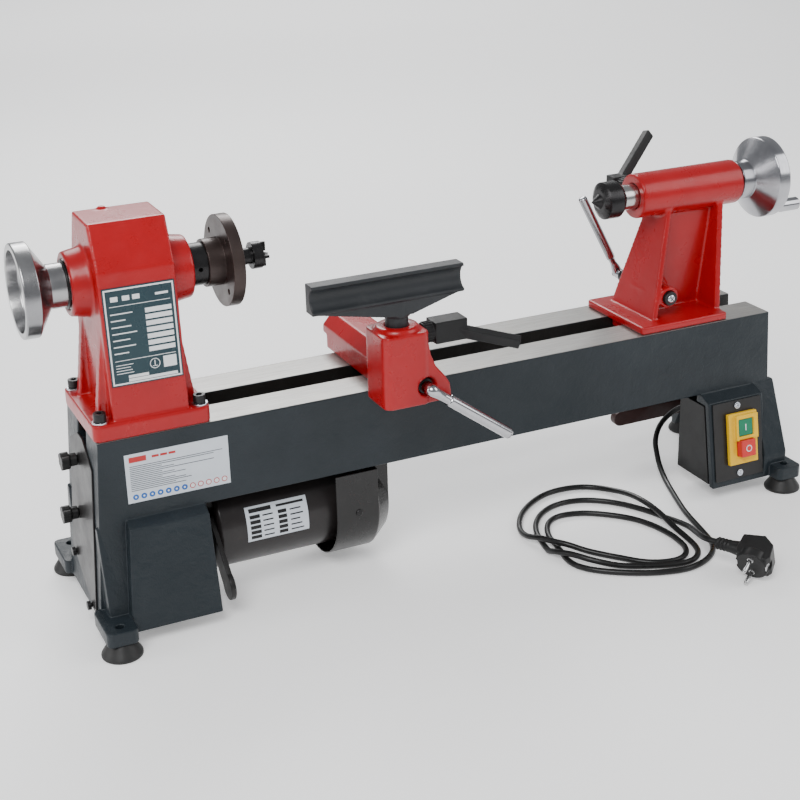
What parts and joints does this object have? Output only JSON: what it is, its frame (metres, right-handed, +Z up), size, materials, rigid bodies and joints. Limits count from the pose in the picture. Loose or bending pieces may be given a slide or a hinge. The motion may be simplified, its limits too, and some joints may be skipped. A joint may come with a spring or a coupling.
{
  "type": "wood lathe",
  "caption": "Benchtop wood lathe: cast bed with slotted ways, belt-driven headstock, swivelling tool rest, sliding tailstock with cranked handwheel, push-button switch and coiled mains lead.",
  "frame": {"origin": "centre of the four bench bolt holes, on the surface the feet stand on", "axes": "+X along the bed towards the tailstock, +Y towards the back, +Z up"},
  "size_m": [0.9528, 0.4266, 0.443],
  "materials": {
    "red_paint": "gloss",
    "bed_paint": "satin",
    "print_plate": "satin",
    "rubber": "matte",
    "black_plastic": "matte",
    "cable_sheath": "satin",
    "black_steel": "satin",
    "dark_casting": "satin",
    "brown_casting": "satin",
    "bright_steel": "satin",
    "chrome": "polished",
    "zinc_steel": "satin",
    "pulley_alloy": "satin",
    "yellow_plastic": "gloss",
    "green_plastic": "gloss",
    "red_plastic": "gloss",
    "brown_paint": "satin"
  },
  "bodies": {
    "base": {"bed": "bed_paint", "rubber_feet": "rubber", "headstock_casting": "red_paint", "headstock_bolts": "black_steel", "headstock_washers": "zinc_steel", "data_plate": "print_plate", "bearing_outer_races": "bright_steel", "belt_cover": "black_steel", "cover_screws": "black_steel", "motor_bracket": "black_steel", "motor_guard": "black_steel", "drive_belt": "rubber", "switch_enclosure": "black_plastic", "switch_plate": "black_steel", "switch_screws": "zinc_steel", "switch_housing": "yellow_plastic", "rear_brace": "brown_paint", "cord_gland": "black_plastic", "power_cord": "cable_sheath", "plug_body": "black_plastic", "plug_pins": "bright_steel"},
    "spindle_group": {"spindle": "black_steel", "bearing_inner_races": "bright_steel", "bearing_balls": "bright_steel", "spindle_pulley": "pulley_alloy", "left_handwheel": "bright_steel", "faceplate": "brown_casting", "spur_centre": "black_steel"},
    "motor_cradle": {"motor_plate": "black_steel", "motor_housing": "black_steel", "tension_lever": "black_steel", "motor_bolts": "zinc_steel"},
    "motor_rotor": {"motor_shaft": "bright_steel", "motor_pulley": "pulley_alloy"},
    "banjo_plate": {"banjo_clamp_plate": "dark_casting"},
    "banjo_bolt": {"banjo_clamp_bolt": "black_steel"},
    "banjo": {"banjo_casting": "red_paint"},
    "banjo_cam": {"banjo_cam_shaft": "bright_steel", "banjo_lever": "chrome"},
    "rest_post": {"rest_stem": "dark_casting"},
    "rest": {"tool_rest": "dark_casting"},
    "rest_lock": {"rest_lock_screw": "zinc_steel"},
    "rest_lock_grip": {"rest_lock_handle": "black_plastic"},
    "tailstock": {"tailstock_casting": "red_paint", "tail_clamp_bolt": "black_steel", "tail_clamp_plate": "dark_casting"},
    "tail_cam": {"tail_cam_shaft": "bright_steel", "tail_lever": "chrome"},
    "quill_group": {"quill": "bright_steel", "live_centre_arbor": "bright_steel"},
    "live_head": {"live_centre_head": "black_steel"},
    "tail_wheel": {"tail_leadscrew": "bright_steel", "right_handwheel": "chrome"},
    "crank": {"crank_handle": "chrome"},
    "quill_lock": {"quill_lock_screw": "zinc_steel"},
    "quill_lock_grip": {"quill_lock_handle": "black_plastic"},
    "start_key": {"start_button": "green_plastic"},
    "stop_key": {"stop_button": "red_plastic"},
    "knob_upper": {"cover_knob_upper": "black_plastic"},
    "knob_lower": {"cover_knob_lower": "black_plastic"}
  },
  "joints": [
    {"name": "spindle_spin", "type": "hinge", "parent": "base", "child": "spindle_group", "pos_m": [-0.42, 0, 0.374], "axis": [1, 0, 0], "continuous": true},
    {"name": "motor_swing", "type": "hinge", "parent": "base", "child": "motor_cradle", "pos_m": [-0.301, 0.04, 0.15], "axis": [1, 0, 0], "range_deg": [-6, 0], "deforming": ["drive_belt"]},
    {"name": "motor_shaft_spin", "type": "hinge", "parent": "motor_cradle", "child": "motor_rotor", "pos_m": [-0.3, 0, 0.075], "axis": [1, 0, 0], "continuous": true},
    {"name": "banjo_travel", "type": "slide", "parent": "base", "child": "banjo_plate", "axis": [1, 0, 0], "range_m": [-0.02, 0.12]},
    {"name": "banjo_swivel", "type": "hinge", "parent": "banjo_plate", "child": "banjo_bolt", "pos_m": [-0.078, 0, 0.2], "axis": [0, 0, 1], "range_deg": [-6, 6]},
    {"name": "banjo_reach", "type": "slide", "parent": "banjo_bolt", "child": "banjo", "axis": [0, 1, 0], "range_m": [-0.02, 0.01]},
    {"name": "banjo_cam_turn", "type": "hinge", "parent": "banjo", "child": "banjo_cam", "pos_m": [-0.078, -0.138, 0.241], "axis": [0, 1, 0], "range_deg": [-25, 90]},
    {"name": "rest_height", "type": "slide", "parent": "banjo", "child": "rest_post", "axis": [0, 0, 1], "range_m": [-0.006, 0.03]},
    {"name": "rest_swivel", "type": "hinge", "parent": "rest_post", "child": "rest", "pos_m": [-0.1, -0.102, 0.32], "axis": [0, 0, 1], "range_deg": [-12, 12]},
    {"name": "rest_lock_turn", "type": "hinge", "parent": "banjo", "child": "rest_lock", "pos_m": [-0.08, -0.102, 0.293], "axis": [1, 0, 0], "range_deg": [-30, 0]},
    {"name": "rest_handle_lift", "type": "slide", "parent": "rest_lock", "child": "rest_lock_grip", "axis": [1, 0, 0], "range_m": [0, 0.005], "stiffness_N_per_m": 400},
    {"name": "tail_travel", "type": "slide", "parent": "base", "child": "tailstock", "axis": [1, 0, 0], "range_m": [-0.06, 0.05]},
    {"name": "tail_cam_turn", "type": "hinge", "parent": "tailstock", "child": "tail_cam", "pos_m": [0.287, 0.07, 0.255], "axis": [0, 1, 0], "range_deg": [-55, 5]},
    {"name": "quill_feed", "type": "slide", "parent": "tailstock", "child": "quill_group", "axis": [-1, 0, 0], "range_m": [-0.012, 0.05]},
    {"name": "live_centre_spin", "type": "hinge", "parent": "quill_group", "child": "live_head", "pos_m": [0.216, 0, 0.374], "axis": [1, 0, 0], "continuous": true},
    {"name": "tail_wheel_turn", "type": "hinge", "parent": "tailstock", "child": "tail_wheel", "pos_m": [0.415, 0, 0.374], "axis": [1, 0, 0], "range_deg": [-1080, 4500]},
    {"name": "crank_spin", "type": "hinge", "parent": "tail_wheel", "child": "crank", "pos_m": [0.45, -0.024, 0.341], "axis": [1, 0, 0], "continuous": true},
    {"name": "quill_lock_turn", "type": "hinge", "parent": "tailstock", "child": "quill_lock", "pos_m": [0.273, 0.03, 0.374], "axis": [0, 1, 0], "range_deg": [-25, 25]},
    {"name": "quill_handle_lift", "type": "slide", "parent": "quill_lock", "child": "quill_lock_grip", "axis": [0, 1, 0], "range_m": [0, 0.005], "stiffness_N_per_m": 400},
    {"name": "start_press", "type": "slide", "parent": "base", "child": "start_key", "axis": [0, 0.9861, -0.1659], "range_m": [0, 0.003], "stiffness_N_per_m": 500},
    {"name": "stop_press", "type": "slide", "parent": "base", "child": "stop_key", "axis": [0, 0.9861, -0.1659], "range_m": [0, 0.003], "stiffness_N_per_m": 500},
    {"name": "upper_knob_turn", "type": "hinge", "parent": "base", "child": "knob_upper", "pos_m": [-0.425, 0.016, 0.175], "axis": [1, 0, 0], "range_deg": [0, 1080]},
    {"name": "lower_knob_turn", "type": "hinge", "parent": "base", "child": "knob_lower", "pos_m": [-0.43, 0.016, 0.113], "axis": [1, 0, 0], "range_deg": [0, 1080]}
  ],
  "couplings": [
    {"joint": "motor_shaft_spin", "follows": "spindle_spin", "ratio": 1},
    {"joint": "quill_feed", "follows": "tail_wheel_turn", "m_per_rad": 0.00063662}
  ]
}
